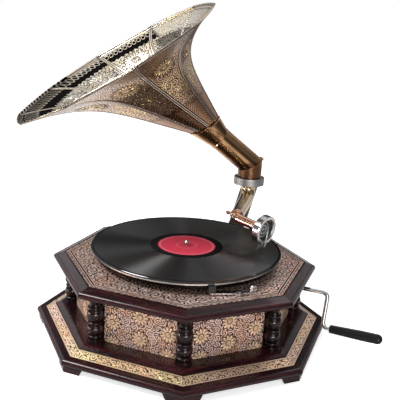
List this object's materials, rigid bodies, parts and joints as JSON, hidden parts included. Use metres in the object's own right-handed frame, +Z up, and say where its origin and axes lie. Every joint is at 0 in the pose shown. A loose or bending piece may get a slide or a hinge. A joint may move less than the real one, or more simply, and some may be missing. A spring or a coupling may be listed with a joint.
{
  "type": "gramophone",
  "caption": "Table gramophone: octagonal wooden case with turned corner columns and embossed panels, wind-up spring motor, swinging tonearm and a flared brass horn.",
  "frame": {"origin": "on the floor, under the turntable spindle", "axes": "+Z up along the spindle, +X towards the crank, +Y towards the horn bracket on the back, the front is -Y"},
  "size_m": [0.5402, 0.3772, 0.4244],
  "materials": {
    "mahogany": "dark red-brown gloss lacquer",
    "copper_sheet": "embossed copper-toned sheet",
    "horn_brass": "polished, embossed on the bell",
    "copper_tube": "polished copper tone",
    "gear_brass": "machined",
    "grey_iron": "dull grey",
    "steel": "machined",
    "nickel": "nickel plate",
    "rubber": "matt",
    "felt": "green felt",
    "shellac": "grooved gloss black",
    "label_paper": "plain crimson",
    "black_wood": "black gloss lacquer",
    "leather": "plain",
    "diaphragm_foil": "thin pressed foil"
  },
  "bodies": {
    "case": {"corner_feet": "mahogany", "plinth_frame": "mahogany", "plinth_inlay": "copper_sheet", "base_board": "mahogany", "step_moulding": "mahogany", "case_walls": "mahogany", "side_panels": "copper_sheet", "corner_columns": "mahogany", "lid_board": "mahogany", "lid_moulding": "mahogany", "deck_inlay": "copper_sheet", "crank_escutcheon": "gear_brass", "horn_bracket": "grey_iron", "bracket_screws": "gear_brass", "motor_bedplate": "grey_iron", "motor_lower_plate": "grey_iron", "motor_pillars": "gear_brass", "motor_bolts": "steel", "bolt_washers": "rubber", "governor_bearings": "gear_brass", "winding_bearing": "gear_brass", "clutch_spring": "steel", "brake_post": "nickel"},
    "turntable": {"spindle": "steel", "governor_wheel": "gear_brass", "platter": "nickel", "felt_mat": "felt", "record_disc": "shellac", "record_labels": "label_paper"},
    "barrel": {"spring_barrel": "gear_brass", "barrel_cover": "gear_brass", "mainspring": "steel"},
    "winding_arbor": {"barrel_arbor": "steel", "crown_wheel": "gear_brass"},
    "middle_gear": {"middle_arbor": "steel", "middle_wheel": "gear_brass"},
    "governor": {"governor_shaft": "steel", "governor_springs": "steel", "governor_weights": "gear_brass", "governor_disc": "steel"},
    "crank": {"winding_shaft": "steel", "crank_rod": "nickel"},
    "grip": {"crank_grip": "black_wood"},
    "brake": {"brake_lever": "nickel", "brake_pad": "leather"},
    "regulator": {"speed_regulator": "nickel", "regulator_pad": "leather"},
    "tonearm": {"tonearm_tube": "horn_brass"},
    "soundbox": {"gooseneck": "copper_tube", "gooseneck_screw": "copper_tube", "soundbox_case": "nickel", "soundbox_gaskets": "rubber", "soundbox_diaphragm": "diaphragm_foil", "soundbox_ring": "nickel", "stylus_bar": "steel", "needle": "steel"},
    "horn": {"horn_elbow": "horn_brass", "horn_ferrule": "horn_brass", "horn_bell": "horn_brass", "horn_rim": "horn_brass"}
  },
  "joints": [
    {"name": "turntable_spin", "type": "hinge", "parent": "case", "child": "turntable", "pos_m": [0, 0, 0.1128], "axis": [0, 0, 1], "continuous": true},
    {"name": "middle_gear_spin", "type": "hinge", "parent": "case", "child": "middle_gear", "pos_m": [0.01816, 0.02635, 0.07], "axis": [0, 0, 1], "continuous": true},
    {"name": "barrel_spin", "type": "hinge", "parent": "case", "child": "barrel", "pos_m": [0.06, 0.03, 0.038], "axis": [0, 0, 1], "continuous": true},
    {"name": "governor_spin", "type": "hinge", "parent": "case", "child": "governor", "pos_m": [0, -0.02677, 0.0525], "axis": [1, 0, 0], "continuous": true},
    {"name": "crank_turn", "type": "hinge", "parent": "case", "child": "crank", "pos_m": [0.13501, 0.03, 0.072], "axis": [1, 0, 0], "continuous": true},
    {"name": "winding_arbor_spin", "type": "hinge", "parent": "case", "child": "winding_arbor", "pos_m": [0.06, 0.03, 0.06], "axis": [0, 0, 1], "continuous": true},
    {"name": "grip_spin", "type": "hinge", "parent": "crank", "child": "grip", "pos_m": [0.19601, 0.0121, 0.0318], "axis": [1, 0, 0], "continuous": true},
    {"name": "brake_swing", "type": "hinge", "parent": "case", "child": "brake", "pos_m": [0.10035, -0.08421, 0.098], "axis": [0, 0, 1], "range_deg": [0, 12]},
    {"name": "regulator_turn", "type": "hinge", "parent": "case", "child": "regulator", "pos_m": [0.11142, -0.06381, 0.096], "axis": [0, 0, 1], "range_deg": [-4, 0]},
    {"name": "tonearm_swing", "type": "hinge", "parent": "case", "child": "tonearm", "pos_m": [0.031, 0.16801, 0.168], "axis": [0, 0, 1], "range_deg": [-24, 20]},
    {"name": "soundbox_lift", "type": "hinge", "parent": "tonearm", "child": "soundbox", "pos_m": [0.04536, 0.07309, 0.1448], "axis": [0.1495, -0.9888, 0], "range_deg": [0, 100]},
    {"name": "horn_swivel", "type": "hinge", "parent": "case", "child": "horn", "pos_m": [0.031, 0.16801, 0.176], "axis": [0, 0, 1], "range_deg": [-60, 60]}
  ],
  "couplings": [
    {"joint": "middle_gear_spin", "follows": "turntable_spin", "ratio": -0.23077},
    {"joint": "barrel_spin", "follows": "turntable_spin", "ratio": 0.038462},
    {"joint": "governor_spin", "follows": "turntable_spin", "ratio": -15},
    {"joint": "winding_arbor_spin", "follows": "crank_turn", "ratio": 0.27778}
  ]
}
